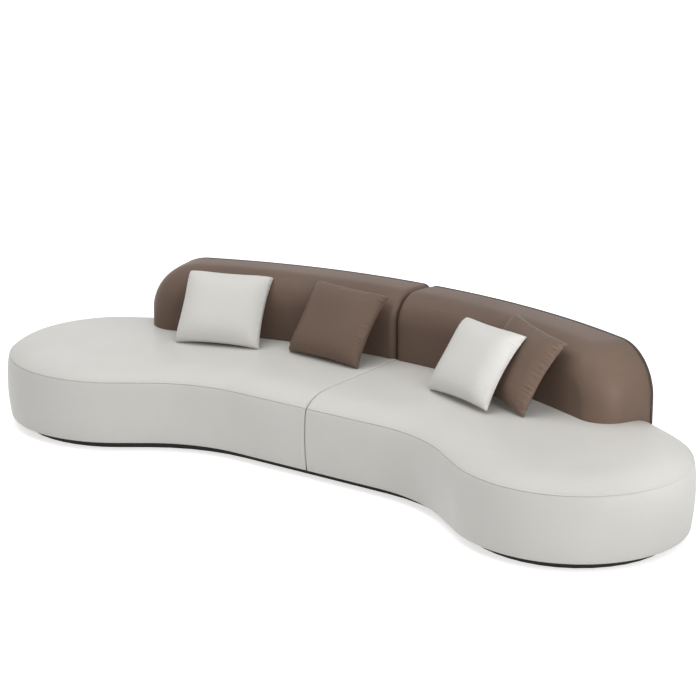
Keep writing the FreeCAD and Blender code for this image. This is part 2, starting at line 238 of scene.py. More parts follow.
def points_of(piece: Object) -> np.ndarray:
    """Reads the places of a piece's vertices.

    Args:
        piece: The piece.

    Returns:
        One row for each vertex, in metres.
    """
    co = np.empty(len(piece.data.vertices) * 3)
    piece.data.vertices.foreach_get("co", co)
    return co.reshape(-1, 3)


def put_points(piece: Object, co: np.ndarray) -> None:
    """Moves a piece's vertices to new places."""
    piece.data.vertices.foreach_set("co", co.ravel())
    piece.data.update()


def run_along(line: np.ndarray) -> np.ndarray:
    """Distance of each point of a line from its start, along the line."""
    return np.concatenate([[0.0], np.cumsum(np.linalg.norm(np.diff(line, axis=0), axis=1))])


def ripple(x: np.ndarray, y: np.ndarray, seed: float) -> np.ndarray:
    """Smooth uneven wave between -1 and 1, the same on every run.

    Args:
        x: First coordinate in millimetres.
        y: Second coordinate in millimetres.
        seed: Shifts the pattern.

    Returns:
        Value of the wave at each place.
    """
    a = np.sin(x * 0.0131 + 1.7 * np.sin(y * 0.0093 + seed) + seed)
    b = np.sin(y * 0.0157 + 1.3 * np.sin(x * 0.0071 + 2.1 * seed) + 0.6)
    c = np.sin((x + y) * 0.0239 + 1.9 * np.sin((x - y) * 0.0113 + seed))
    return (a + b + 0.6 * c) / 2.6


@dataclass(frozen=True)
class Plan:
    """Kidney plan of one half at the fullest line of its side, in millimetres."""

    front_straight: float = 399.0
    waist_radius: float = 692.0
    waist_turn: float = 35.5
    waist_run: float = 152.0
    lobe_front_radius: float = 586.5
    lobe_lean: float = 3.4
    lobe_end_radius: float = 512.0
    middle_depth: float = 1045.5
    split: float = 2.0
    split_round: float = 9.0
    split_steps: tuple = (0.0, 0.6, 1.6, 3.2, 5.6, 9.0, 16.0)

    @property
    def front_y(self) -> float:
        """Place of the straight front edge."""
        turn = math.radians(self.waist_turn)
        reach = (self.waist_radius + self.lobe_front_radius) * (1 - math.cos(turn))
        return (reach + self.waist_run * math.sin(turn) - self.middle_depth) / 2

    @property
    def rear_y(self) -> float:
        """Place of the rear edge at the split."""
        return self.front_y + self.middle_depth

    @property
    def rear_arc(self) -> tuple[np.ndarray, float, float, float]:
        """Curve of the rear edge."""
        return self.runs()[Arc.REAR]

    def runs(self) -> list[tuple[np.ndarray, float, float, float]]:
        """Curves of the plan.

        Returns:
            Centre, signed radius and first and last heading of each arc.
        """
        turn = math.radians(self.waist_turn)
        lean = math.radians(self.lobe_lean)
        waist = np.array([self.front_straight, self.front_y - self.waist_radius])
        over = np.array([math.sin(turn), math.cos(turn)])
        along = np.array([math.cos(turn), -math.sin(turn)])
        run_end = waist + over * self.waist_radius + along * self.waist_run
        lobe = run_end + over * self.lobe_front_radius
        to_end = np.array([math.sin(lean), -math.cos(lean)])
        end = lobe + to_end * (self.lobe_front_radius - self.lobe_end_radius)
        near = self.rear_y - self.lobe_end_radius
        rear_y = (end @ end - near**2) / (2 * (end[1] - near))
        rear = np.array([0.0, rear_y])
        end_turn = math.atan2(end[1] - rear_y, end[0]) + math.pi / 2
        return [
            (waist, -self.waist_radius, 0.0, -turn),
            (lobe, self.lobe_front_radius, -turn, lean),
            (end, self.lobe_end_radius, lean, end_turn),
            (rear, self.rear_y - rear_y, end_turn, math.pi),
        ]

    def line(self, step: float) -> tuple[np.ndarray, np.ndarray]:
        """Points along the plan from the split's front to its rear, close together beside the split.

        Args:
            step: Distance between points in millimetres.

        Returns:
            The points and the directions into the seat.
        """
        near = self.split + np.array(self.split_steps)
        far = np.arange(near[-1] + step * 0.7, self.front_straight, step)
        xs = np.concatenate([near, far])
        points = [np.array([x, self.front_y]) for x in xs]
        inward = [np.array([0.0, 1.0]) for _ in xs]
        for arc, (centre, radius, first, last) in zip(Arc, self.runs()):
            count = max(6, math.ceil(abs(radius * (last - first)) / step))
            headings = np.linspace(first, last, count + 1)
            if arc is Arc.REAR:
                tail = math.pi - np.arcsin(near[::-1] / radius)
                headings = np.concatenate([headings[headings < tail[0] - 0.5 * step / radius], tail])
            if arc is Arc.LOBE:
                self._straight(points, inward, step)
            if arc > Arc.LOBE:
                headings = headings[1:]
            for heading in headings:
                side = np.array([math.sin(heading), -math.cos(heading)])
                points.append(centre + side * radius)
                inward.append(-side)
        return np.array(points), np.array(inward)

    def _straight(self, points: list, inward: list, step: float) -> None:
        """Adds the straight run between the hollow curve and the lobe.

        Args:
            points: Points so far; the last is the start of the run.
            inward: Directions so far.
            step: Distance between points in millimetres.
        """
        turn = math.radians(self.waist_turn)
        along = np.array([math.cos(turn), -math.sin(turn)])
        count = max(2, round(self.waist_run / step))
        start, direction = points[-1], inward[-1]
        for i in range(1, count):
            points.append(start + along * (self.waist_run * i / count))
            inward.append(direction)

    def split_inset(self, x: np.ndarray) -> np.ndarray:
        """How far the leather turns in, or down, beside the split."""
        left = np.clip(1 - (x - self.split) / self.split_round, 0, 1)
        return self.split_round * (1 - np.sqrt(1 - left**2))


def add_node(tree: NodeTree, kind: str, inputs: dict, **settings) -> Node:
    """Adds a node with its settings, and links or sets its inputs.

    Args:
        tree: Nodes of a material, a shared effect or the world.
        kind: Type of the node, without ShaderNode in front.
        inputs: Socket or constant value of each input, by name or number.
        settings: Settings of the node, such as its operation.

    Returns:
        The node.
    """
    node = tree.nodes.new(f"ShaderNode{kind}")
    for label, value in settings.items():
        setattr(node, label, value)
    for label, value in inputs.items():
        if isinstance(value, NodeSocket):
            tree.links.new(value, node.inputs[label])
        else:
            node.inputs[label].default_value = value
    return node


def add_share(tree: NodeTree, first: NodeSocket, second: NodeSocket, share: float) -> NodeSocket:
    """Adds a share of the second value to the first."""
    return add_node(tree, "Math", {0: second, 1: share, 2: first}, operation="MULTIPLY_ADD").outputs["Value"]


def blend(tree: NodeTree, factor: NodeSocket, first: NodeSocket, second: NodeSocket) -> NodeSocket:
    """Blends two colours."""
    inputs = {"Factor": factor, "A": first, "B": second}
    return add_node(tree, "Mix", inputs, data_type="RGBA").outputs["Result"]


def new_group(name: str, inputs: dict) -> tuple[NodeTree, Node, Node]:
    """Starts a shared effect with its inputs and its Color, Roughness and Height outputs.

    Args:
        name: Name of the effect.
        inputs: Default of each input: None for a colour, a number or three numbers.

    Returns:
        The node group, its input node and its output node.
    """
    group = bpy.data.node_groups.new(name, "ShaderNodeTree")
    kinds = {type(None): "NodeSocketColor", float: "NodeSocketFloat", tuple: "NodeSocketVector"}
    for label, value in inputs.items():
        socket = group.interface.new_socket(label, in_out="INPUT", socket_type=kinds[type(value)])
        if value is not None:
            socket.default_value = value
    for label, kind in (("Color", "NodeSocketColor"), ("Roughness", "NodeSocketFloat"),
                        ("Height", "NodeSocketFloat")):
        group.interface.new_socket(label, in_out="OUTPUT", socket_type=kind)
    return group, group.nodes.new("NodeGroupInput"), group.nodes.new("NodeGroupOutput")


def leather_group() -> NodeTree:
    """Builds the shared leather effect: pebbled grain, soft creases and uneven tone.

    Returns:
        Node group with Color, Roughness and Height outputs.
    """
    group, source, result = new_group("leather_surface", {
        "Tone": None, "Shade": None, "Grain Scale": 420.0, "Crease Scale": 9.0, "Dullness": 0.4})
    take = source.outputs
    place = add_node(group, "TexCoord", {}).outputs["Object"]

    def noise(scale: NodeSocket | float, detail: float, warp: float) -> NodeSocket:
        """Noise on object coordinates."""
        inputs = {"Vector": place, "Scale": scale, "Detail": detail, "Distortion": warp}
        return add_node(group, "TexNoise", inputs).outputs["Fac"]

    def reshape(value: NodeSocket, low: float, high: float, to: tuple) -> NodeSocket:
        """Maps a value from one range to another."""
        inputs = {"Value": value, "From Min": low, "From Max": high, "To Min": to[0], "To Max": to[1]}
        return add_node(group, "MapRange", inputs).outputs["Result"]

    cells = add_node(group, "TexVoronoi", {"Vector": place, "Scale": take["Grain Scale"], "Smoothness": 0.4},
                     feature="SMOOTH_F1")
    cloud = noise(2.6, 2.0, 0.2)
    pebbles = reshape(cells.outputs["Distance"], 0.0, 0.75, (1.0, 0.0))
    folds = reshape(noise(take["Crease Scale"], 3.0, 0.6), 0.3, 0.7, (0.0, 1.0))
    patches = reshape(cloud, 0.3, 0.7, (0.0, 0.6))
    tone = add_share(group, patches, noise(38.0, 4.0, 0.3), 0.4)
    wear = add_share(group, cloud, pebbles, 1.3)
    group.links.new(add_share(group, pebbles, folds, 1.6), result.inputs["Height"])
    group.links.new(blend(group, tone, take["Tone"], take["Shade"]), result.inputs["Color"])
    group.links.new(add_share(group, take["Dullness"], wear, 0.06), result.inputs["Roughness"])
    return group


def wear_group() -> NodeTree:
    """Builds the shared effect of plain boards, straps, thread and metal: streaks along one way.

    Returns:
        Node group with Color, Roughness and Height outputs.
    """
    group, source, result = new_group("streaked_surface", {
        "Light": None, "Dark": None, "Stretch": (4.0, 40.0, 40.0), "Base Roughness": 0.6})
    take = source.outputs
    place = add_node(group, "TexCoord", {}).outputs["Object"]
    scaled = add_node(group, "VectorMath", {0: place, 1: take["Stretch"]}, operation="MULTIPLY")
    streak = add_node(group, "TexNoise", {"Vector": scaled.outputs["Vector"], "Scale": 1.0, "Detail": 6.0,
                                          "Distortion": 0.8}).outputs["Fac"]
    group.links.new(streak, result.inputs["Height"])
    group.links.new(blend(group, streak, take["Dark"], take["Light"]), result.inputs["Color"])
    group.links.new(add_share(group, take["Base Roughness"], streak, 0.16), result.inputs["Roughness"])
    return group


@dataclass(frozen=True)
class LeatherFinish:
    """One leather: its tone, its darker shade and the strength of its grain."""

    name: str
    tone: tuple
    shade: tuple
    bump: float = 0.22
    dullness: float = 0.38
    shine: float = 0.25
    bump_depth: float = 0.0006

    def make(self, group: NodeTree) -> Material:
        """Builds the material.

        Args:
            group: The shared leather effect.

        Returns:
            The finished material.
        """
        material, shader = principled(self.name)
        shader.inputs["Specular IOR Level"].default_value = self.shine
        values = {"Tone": self.tone, "Shade": self.shade, "Dullness": self.dullness}
        place_group(material, shader, group, values, self.bump, self.bump_depth)
        return material


@dataclass(frozen=True)
class BoardFinish:
    """A plain board, strap or metal part: two tones and a direction of streaks."""

    name: str
    light: tuple
    dark: tuple
    roughness: float
    metallic: float = 0.0
    stretch: tuple = (4.0, 40.0, 40.0)
    bump: float = 0.15
    bump_depth: float = 0.0008

    def make(self, group: NodeTree) -> Material:
        """Builds the material.

        Args:
            group: The shared streaked effect.

        Returns:
            The finished material.
        """
        material, shader = principled(self.name)
        shader.inputs["Metallic"].default_value = self.metallic
        values = {"Light": self.light, "Dark": self.dark, "Stretch": self.stretch,
                  "Base Roughness": self.roughness}
        place_group(material, shader, group, values, self.bump, self.bump_depth)
        return material


def principled(name: str) -> tuple[Material, Node]:
    """Starts a material with its main shader.

    Args:
        name: Name of the finish.

    Returns:
        The material and its Principled shader.
    """
    material = bpy.data.materials.new(name)
    material.use_nodes = True
    return material, material.node_tree.nodes["Principled BSDF"]


def place_group(material: Material, shader: Node, group: NodeTree,
                values: dict, bump: float, depth: float) -> None:
    """Places a shared effect in a material and links it to the shader.

    Args:
        material: The material.
        shader: Its Principled shader.
        group: The shared effect.
        values: Inputs of the effect.
        bump: Strength of the bump.
        depth: Height of the bump in metres.
    """
    tree = material.node_tree
    colours = ("Tone", "Shade", "Light", "Dark")
    full = {label: (*value, 1.0) if label in colours else value for label, value in values.items()}
    effect = add_node(tree, "Group", full, node_tree=group).outputs
    raised = add_node(tree, "Bump", {"Strength": bump, "Distance": depth, "Height": effect["Height"]})
    tree.links.new(effect["Color"], shader.inputs["Base Color"])
    tree.links.new(effect["Roughness"], shader.inputs["Roughness"])
    tree.links.new(raised.outputs["Normal"], shader.inputs["Normal"])


@dataclass
class Finishes:
    """Every material of the sofa."""

    hides: dict = field(default_factory=dict)
    threads: dict = field(default_factory=dict)
    boards: dict = field(default_factory=dict)

    def make(self) -> "Finishes":
        """Builds the materials.

        Returns:
            This set, filled.
        """
        leather = leather_group()
        streaked = wear_group()
        pale = LeatherFinish("pale_leather", (0.690, 0.680, 0.650), (0.640, 0.628, 0.595))
        brown = LeatherFinish("brown_leather", (0.166, 0.114, 0.087), (0.130, 0.088, 0.067),
                              bump=0.25, dullness=0.38, shine=0.14)
        # Near-black brown for the backrest's border strip: painted shade along its rear top edge.
        edge = LeatherFinish("brown_leather_edge", (0.052, 0.039, 0.033), (0.040, 0.030, 0.025),
                             bump=0.25, dullness=0.4, shine=0.3)
        self.hides = {Hide.PALE: pale.make(leather), Hide.BROWN: brown.make(leather),
                      Hide.EDGE: edge.make(leather)}
        pale_thread = BoardFinish("pale_thread", (0.62, 0.60, 0.56), (0.52, 0.50, 0.46), 0.7,
                                  stretch=(900.0, 900.0, 900.0))
        brown_thread = BoardFinish("brown_thread", (0.15, 0.11, 0.09), (0.10, 0.075, 0.06), 0.7,
                                   stretch=(900.0, 900.0, 900.0))
        self.threads = {Hide.PALE: pale_thread.make(streaked), Hide.BROWN: brown_thread.make(streaked)}
        boards = [
            BoardFinish("black_plinth", (0.012, 0.011, 0.011), (0.005, 0.005, 0.005), 0.6),
            BoardFinish("plywood", (0.66, 0.50, 0.31), (0.47, 0.32, 0.18), 0.6),
            BoardFinish("foam", (0.82, 0.78, 0.64), (0.74, 0.69, 0.54), 0.85, stretch=(220.0, 220.0, 220.0)),
            BoardFinish("fibre", (0.86, 0.86, 0.85), (0.76, 0.76, 0.75), 0.9, stretch=(120.0, 500.0, 500.0)),
            BoardFinish("webbing", (0.10, 0.10, 0.10), (0.04, 0.04, 0.04), 0.8, stretch=(600.0, 60.0, 60.0)),
            BoardFinish("steel", (0.62, 0.62, 0.63), (0.45, 0.45, 0.47), 0.3, metallic=1.0,
                        stretch=(30.0, 400.0, 400.0), bump=0.05),
        ]
        self.boards = {board.name: board.make(streaked) for board in boards}
        return self


def stitch_row(sheet: Sheet, line: np.ndarray, normal: np.ndarray, pitch: float = 9.0, length: float = 6.2,
               radius: float = 0.55) -> None:
    """Adds a row of short thread stitches along a line.

    Args:
        sheet: Gathers the stitches.
        line: Points of the seam, in millimetres.
        normal: Outward directions at those points.
        pitch: Distance from stitch to stitch.
        length: Length of a stitch.
        radius: Half the thread's thickness.
    """
    run = run_along(line)
    starts = np.arange(pitch, run[-1] - pitch, pitch)

    def at(values: np.ndarray, where: np.ndarray) -> np.ndarray:
        """Values along the line at given distances."""
        return np.stack([np.interp(where, run, values[:, k]) for k in range(3)], axis=1)

    ring = [(0.0, -0.35), (0.8, 0.35), (0.8, 0.9), (0.0, 1.3), (-0.8, 0.9), (-0.8, 0.35)]
    sections = ((-0.5, 0.35, -0.8), (-0.28, 1.0, 0.0), (0.28, 1.0, 0.0), (0.5, 0.35, -0.8))
    middles = at(line, starts)
    ahead = at(line, starts + length * 0.5) - at(line, starts - length * 0.5)
    ahead /= np.linalg.norm(ahead, axis=1)[:, None]
    up = at(normal, starts)
    up /= np.linalg.norm(up, axis=1)[:, None]
    across = np.cross(up, ahead)
    for middle, forward, out, side in zip(middles, ahead, up, across):
        grid = []
        for along, grow, sink in sections:
            base = middle + forward * (along * length) + out * (sink * radius)
            grid.append([base + side * (u * radius * grow) + out * (v * radius * grow) for u, v in ring])
        sheet.close_ends(sheet.add_grid(np.array(grid), wrap=True))


@dataclass
class SeatHalf:
    """Upholstered seat of one half: crowned top panel, bulged side band and split panel."""

    side: Side
    finishes: Finishes
    plan: Plan = field(default_factory=Plan)
    hem_bottom: float = 44.0
    base_bottom: float = 46.0
    seam_height: float = 335.0
    fullest_height: float = 200.0
    hem_inset: float = 14.0
    hem_width: float = 40.0
    seam_inset: float = 12.0
    lining: float = 19.0
    crown: float = 54.0
    shoulder: float = 300.0
    shoulder_power: float = 5.2
    stitch_share: float = 0.0305
    seam_power: float = 3.2
    top_waves: float = 1.6
    side_waves: float = 1.3
    step: float = 14.0

    def build(self) -> list[Object]:
        """Builds the seat's pieces.

        Returns:
            The pieces, riding on the half's body.
        """
        pieces = [
            (self.top_panel(), ["seat_top_cover", "seat_foam"], 0.8),
            (self.side_band(), ["seat_side_cover", "side_padding"], 0.9),
            (self.split_panel(), ["seat_split_panel"], None),
            (self.stitches(), [], None),
        ]
        return mount(pieces, self.side)

    def height_at(self, inset: np.ndarray) -> np.ndarray:
        """Height of the crowned top at distances inside the fullest line."""
        share = np.clip((inset - self.seam_inset) / self.shoulder, 0, 1)
        return self.seam_height + self.crown * (1 - (1 - share) ** self.shoulder_power)

    def swept(self, profile: np.ndarray, turned_in: np.ndarray) -> np.ndarray:
        """Carries a profile round the plan.

        Args:
            profile: Inset and height of each column.
            turned_in: How much of the turn beside the split each column takes.

        Returns:
            Grid of points, rows along the plan.
        """
        line, inward = self.plan.line(self.step)
        extra = self.plan.split_inset(line[:, 0])
        inset = profile[None, :, 0] + extra[:, None] * turned_in[None, :]
        xy = line[:, None, :] + inward[:, None, :] * inset[:, :, None]
        z = np.broadcast_to(profile[None, :, 1], inset.shape)
        return np.concatenate([xy, z[:, :, None]], axis=2)

    def top_panel(self) -> Object:
        """Builds the crowned top panel with its rounded edge along the split.

        Returns:
            The top panel.
        """
        low = self.seam_height
        share = np.concatenate([np.linspace(0.012, 0.12, 7), np.linspace(0.15, 1.0, 18)])
        inset = self.seam_inset + self.shoulder * share
        rise = np.stack([inset, self.height_at(inset)], axis=1)
        edge = np.array([[self.lining, low + 0.3], [self.seam_inset + 1.4, low + 0.5],
                         [self.seam_inset + 0.5, low + 1.2]])
        profile = np.concatenate([edge, rise])
        turned = np.concatenate([np.zeros(1), np.ones(2), np.linspace(1.0, 0.0, len(share))])
        grid = self.swept(profile, turned)
        self.round_over(grid, 3)
        self.loosen(grid)
        sheet = Sheet()
        index = sheet.add_grid(grid)
        near = len(self.plan.split_steps) - 1
        inner = index[:, -1]
        count = len(inner)
        for i in range(near):
            sheet.faces.append([inner[i], inner[i + 1], inner[count - 2 - i], inner[count - 1 - i]])
        sheet.faces.append(list(inner[near:count - near]))
        sheet.faces.append(list(index[:, 0]))
        sheet.faces.append(list(index[0]) + list(index[-1][::-1]))
        return make_piece(sheet, self.side, "seat_top", self.finishes.hides[Hide.PALE])

    def round_over(self, grid: np.ndarray, first: int) -> None:
        """Lowers the top panel, from one column on, where it turns down into the split."""
        drop = self.plan.split_inset(grid[:, first:, 0])
        grid[:, first:, 2] = np.maximum(grid[:, first:, 2] - drop, self.seam_height + 1.0)

    def loosen(self, grid: np.ndarray) -> None:
        """Lets the leather of the top panel lie a little unevenly.

        Args:
            grid: Points of the panel; changed in place.
        """
        share = np.clip((grid[:, :, 2] - self.seam_height) / self.crown, 0, 1)
        wave = ripple(grid[:, :, 0], grid[:, :, 1], 0.7 + self.side.value)
        grid[:, :, 2] += self.top_waves * wave * share * (1 - 0.8 * share)

    def side_inset(self, z: np.ndarray) -> np.ndarray:
        """How far the side band is drawn in at a height.

        Args:
            z: Heights in millimetres.

        Returns:
            Insets in millimetres.
        """
        rise = z - self.fullest_height
        below = np.clip(rise / (self.hem_bottom - self.fullest_height), 0, None)
        above = np.clip(rise / (self.seam_height - self.fullest_height), 0, None)
        return self.hem_inset * below**2 + self.seam_inset * above**self.seam_power

    def side_band(self) -> Object:
        """Builds the side band with its hem turned under the base.

        Returns:
            The side band.
        """
        low, high = self.hem_bottom, self.seam_height
        near_seam = np.array([46, 34, 24, 16, 10, 5.5, 2.8])
        z = np.concatenate([np.linspace(low + 4, high - 60, 14), high - near_seam])
        face = np.stack([self.side_inset(z), z], axis=1)
        hem_end = self.hem_inset + self.hem_width
        under = np.array([[hem_end, low + 1.6], [hem_end, low], [self.hem_inset + 4.0, low],
                          [self.hem_inset + 1.0, low + 1.2]])
        over = np.array([[self.seam_inset + 0.3, high - 1.2], [self.seam_inset + 1.4, high - 0.5],
                         [self.lining, high - 0.3], [self.lining, low + 1.6]])
        profile = np.concatenate([under, face, over])
        turned = np.concatenate([np.zeros(2), np.full(2, 0.8), np.ones(len(z)), np.ones(2), np.zeros(2)])
        grid = self.swept(profile, turned)
        columns = slice(len(under), len(under) + len(z))
        self.loosen_band(grid, columns)
        sheet = Sheet()
        sheet.close_ends(sheet.add_grid(grid, wrap=True))
        return make_piece(sheet, self.side, "seat_side", self.finishes.hides[Hide.PALE])

    def loosen_band(self, grid: np.ndarray, columns: slice) -> None:
        """Lets the leather of the side band lie a little unevenly.

        Args:
            grid: Points of the band; changed in place.
            columns: Columns of the outer face.
        """
        line, inward = self.plan.line(self.step)
        run = run_along(line)
        z = grid[:, columns, 2]
        share = np.clip((z - self.hem_bottom) / (self.seam_height - self.hem_bottom), 0, 1)
        wave = ripple(run[:, None] + 0 * z, z * 1.6, 2.3 + self.side.value)
        amount = self.side_waves * wave * np.sin(math.pi * share)
        grid[:, columns, :2] += inward[:, None, :] * amount[:, :, None]

    def split_panel(self) -> Object:
        """Builds the flat panel that closes the seat's side along the split.

        Returns:
            The split panel.
        """
        front = self.plan.front_y + self.lining + 1.0
        rear = self.plan.rear_y - self.lining - 1.0
        low, high = self.base_bottom + 0.6, self.seam_height - 0.6
        edge = np.array([0.0, 0.8, 2.2, 5.0, 12.0])
        ys = np.concatenate([front + edge, np.linspace(front + 40, rear - 40, 24), rear - edge[::-1]])
        zs = np.concatenate([low + edge, np.linspace(low + 30, high - 30, 10), high - edge[::-1]])
        y, z = np.meshgrid(ys, zs, indexing="ij")
        from_edge = np.minimum(np.minimum(y - front, rear - y), np.minimum(z - low, high - z))
        outer = self.plan.split + 3.0 * np.clip(1 - from_edge / 8.0, 0, 1) ** 2 + 0.3
        sheet = Sheet()
        index = sheet.add_grid(np.stack([outer, y, z], axis=2))
        back = sheet.add_grid(np.stack([outer * 0 + self.plan.split + 3.9, y, z], axis=2), flip=True)
        rim = [*index[:, 0], *index[-1, 1:], *index[-2::-1, -1], *index[0, -2:0:-1]]
        rim_back = [*back[:, 0], *back[-1, 1:], *back[-2::-1, -1], *back[0, -2:0:-1]]
        for i in range(len(rim)):
            j = (i + 1) % len(rim)
            sheet.faces.append([rim[i], rim[j], rim_back[j], rim_back[i]])
        return make_piece(sheet, self.side, "seat_split", self.finishes.hides[Hide.PALE])

    def stitches(self) -> Object:
        """Builds the row of stitches just above the seam.

        Returns:
            The stitches.
        """
        sheet = Sheet()
        inset = self.seam_inset + self.shoulder * self.stitch_share
        z = float(self.height_at(np.array([inset]))[0])
        grid = self.swept(np.array([[inset, z]]), np.ones(1))[:, 0, :]
        _, inward = self.plan.line(self.step)
        normal = np.concatenate([-inward * 0.85, np.full((len(inward), 1), 0.53)], axis=1)
        near = len(self.plan.split_steps)
        keep = slice(near, -near)
        stitch_row(sheet, grid[keep], normal[keep])
        return make_piece(sheet, self.side, "seat_stitches", self.finishes.threads[Hide.PALE], STITCH_WELD)


@dataclass
class Backrest:
    """Rolled, curved backrest of one half: front cover, narrow border and rear panel."""

    side: Side
    finishes: Finishes
    plan: Plan = field(default_factory=Plan)
    rear_ledge: float = 44.0
    tightening: float = 100.0
    thickness: float = 303.0
    end_margin: float = 9.25
    end_run: float = 300.0
    top: float = 695.0
    rear_drop: float = 13.0
    end_corner: float = 230.0
    front_roll: float = 138.0
    split_round: float = 34.0
    split_places: int = 9
    border: float = 17.0
    foot: float = 336.0
    skin: float = 4.0
    rear_skin: float = 3.0

    @property
    def rear_radius(self) -> float:
        """Radius of the backrest's rear face."""
        return self.plan.rear_arc[1] - self.tightening

    @property
    def arc(self) -> float:
        """Degrees from the split's edge to the straight end."""
        return 180 - math.degrees(self.plan.rear_arc[2]) - self.end_margin

    @property
    def pivot_height(self) -> float:
        """Height about which the end's top corner turns."""
        return self.top - self.end_corner

    def build(self) -> list[Object]:
        """Builds the backrest's pieces.

        Returns:
            The pieces, riding on the half's body.
        """
        pieces = [
            (self.front_cover(), ["back_front_cover", "back_foam"], 0.85),
            (self.border_strip(), ["back_border"], None),
            (self.rear_panel(), ["back_rear_cover"], None),
            (self.stitches(), [], None),
        ]
        return mount(pieces, self.side)

    def axis(self) -> np.ndarray:
        """Centre of the backrest's curve in plan."""
        y = self.plan.rear_y - self.rear_ledge - self.rear_radius
        return np.array([self.plan.split + self.split_round, y])

    def stations(self) -> list[tuple[Place, float]]:
        """Places along the backrest from the split to the foot of its end.

        Returns:
            Kind of each place and its measure.
        """
        made = [(Place.SPLIT, a) for a in np.linspace(0, 90, self.split_places)]
        made += [(Place.CURVE, a) for a in np.linspace(0, self.arc, 46)[1:]]
        made.append((Place.RUN, self.end_run - self.end_corner))
        made += [(Place.CORNER, a) for a in np.linspace(0, 90, 25)[1:]]
        return made

    def place(self, kind: Place, value: float, section: np.ndarray) -> np.ndarray:
        """Puts a section, given by depth and height, at one of the places.

        Args:
            kind: Kind of place.
            value: Its measure.
            section: Depth behind the front face and height of each column.

        Returns:
            Points in millimetres.
        """
        axis = self.axis()
        depth, z = section[:, 0], section[:, 1]
        y = axis[1] + self.rear_radius - self.thickness + depth
        x = np.full_like(y, axis[0])
        angle = 0.0
        if kind is Place.SPLIT:
            x = x - self.split_round * math.cos(math.radians(value))
        if kind is Place.CURVE:
            angle = value
        if kind in (Place.RUN, Place.CORNER, Place.DOWN):
            angle = self.arc
            run = value if kind is Place.RUN else self.end_run - self.end_corner
            x = x + run
        if kind is Place.CORNER:
            above = z - self.pivot_height
            x = x + above * math.sin(math.radians(value))
            z = self.pivot_height + above * math.cos(math.radians(value))
        if kind is Place.DOWN:
            x = x + (z - self.pivot_height)
            z = np.full_like(z, value)
        turned = math.radians(angle)
        dx, dy = x - axis[0], y - axis[1]
        return np.stack([axis[0] + dx * math.cos(turned) + dy * math.sin(turned),
                         axis[1] - dx * math.sin(turned) + dy * math.cos(turned), z], axis=1)

    def turned_in(self, kind: Place, value: float) -> float:
        """How far the leather turns in at a place beside the split."""
        return self.split_round * (1 - math.sin(math.radians(value))) if kind is Place.SPLIT else 0.0

    def fall(self, depth: np.ndarray) -> np.ndarray:
        """How much the top falls from the roll to the rear."""
        share = np.clip((depth - self.front_roll) / (self.thickness - self.front_roll), 0, 1)
        return self.rear_drop * share**1.6

    def front_section(self, inset: float) -> np.ndarray:
        """Upper section of the front cover, from the corner's pivot over the roll to the border.

        Args:
            inset: How far the leather is drawn in.

        Returns:
            Depth and height of each column.
        """
        roll = self.front_roll - inset
        rise = np.linspace(self.pivot_height, self.top - self.front_roll, 9)
        upright = np.stack([np.full_like(rise, inset), rise], axis=1)
        turned = np.radians(np.linspace(0, 90, 22)[1:])
        centre = self.top - self.front_roll
        over = np.stack([self.front_roll - roll * np.cos(turned), centre + roll * np.sin(turned)], axis=1)
        depth = np.linspace(self.front_roll, self.thickness - self.border, 11)[1:]
        flat = np.stack([depth, self.top - inset - self.fall(depth)], axis=1)
        tuck = np.array([[self.thickness - self.border + 0.6, flat[-1, 1] - 2.6]])
        flat[-1, 1] -= 0.8
        return np.concatenate([upright, over, flat, tuck])

    def low_heights(self) -> np.ndarray:
        """Heights of the rows below the corner's pivot, from the foot up."""
        return np.linspace(self.foot, self.pivot_height, 12)

    def sheet_of(self, section: Callable[[float], np.ndarray], lower: bool) -> tuple[Sheet, np.ndarray]:
        """Builds a sheet from sections along the backrest.

        Args:
            section: Gives the upper section at an inset.
            lower: Whether the sheet goes down to the foot all along.

        Returns:
            The sheet and the points of its first section.
        """
        lows = self.low_heights()
        rows, feet = [], []
        for kind, value in self.stations():
            inset = self.turned_in(kind, value)
            upper = section(inset)
            rows.append(self.place(kind, value, upper))
            if lower and kind is not Place.CORNER:
                column = np.stack([np.full_like(lows, upper[0, 0]), lows], axis=1)
                feet.append(self.place(kind, value, column))
        downs = [self.place(Place.DOWN, z, section(0.0)) for z in lows[::-1]]
        sheet = Sheet()
        sheet.add_grid(np.array(rows + downs))
        first = rows[0]
        if lower:
            sheet.add_grid(np.array(feet))
            first = np.concatenate([feet[0][:-1], rows[0]])
        return sheet, first

    def skinned(self, sheet: Sheet, label: str, hide: Hide, depth: float) -> Object:
        """Makes a piece of the backrest as thick as its leather."""
        return thicken(make_piece(sheet, self.side, label, self.finishes.hides[hide]), depth)

    def front_cover(self) -> Object:
        """Builds the front cover with its flat end along the split.

        Returns:
            The front cover.
        """
        sheet, first = self.sheet_of(self.front_section, True)
        base = len(sheet.points)
        rear = self.thickness - 4.0
        corner = self.place(Place.SPLIT, 0.0, np.array([[rear, first[-1, 2] - 2.0], [rear, self.foot]]))
        cap = list(first) + list(corner)
        sheet.points.extend(map(tuple, cap))
        sheet.faces.append(list(range(base, base + len(cap))))
        return self.skinned(sheet, "back_front", Hide.BROWN, self.skin)

    def border_section(self, inset: float) -> np.ndarray:
        """Section of the narrow strip along the rear edge.

        Args:
            inset: How far the leather is drawn in.

        Returns:
            Depth and height of each column.
        """
        depth = np.array([0.8, 1.6, 3.2, 6.0, 9.5, 13.0, 15.0, 16.2, 16.6])
        lift = np.array([-2.8, -0.6, 0.5, 1.3, 1.5, 1.0, 0.2, -1.0, -3.0])
        place = self.thickness - self.border + depth
        return np.stack([place, self.top - inset - self.fall(place) + lift], axis=1)

    def border_strip(self) -> Object:
        """Builds the narrow strip along the rear edge, in a near-black brown that is painted shade of that
        edge.
        """
        sheet, _ = self.sheet_of(self.border_section, False)
        return self.skinned(sheet, "back_edging", Hide.EDGE, self.skin)

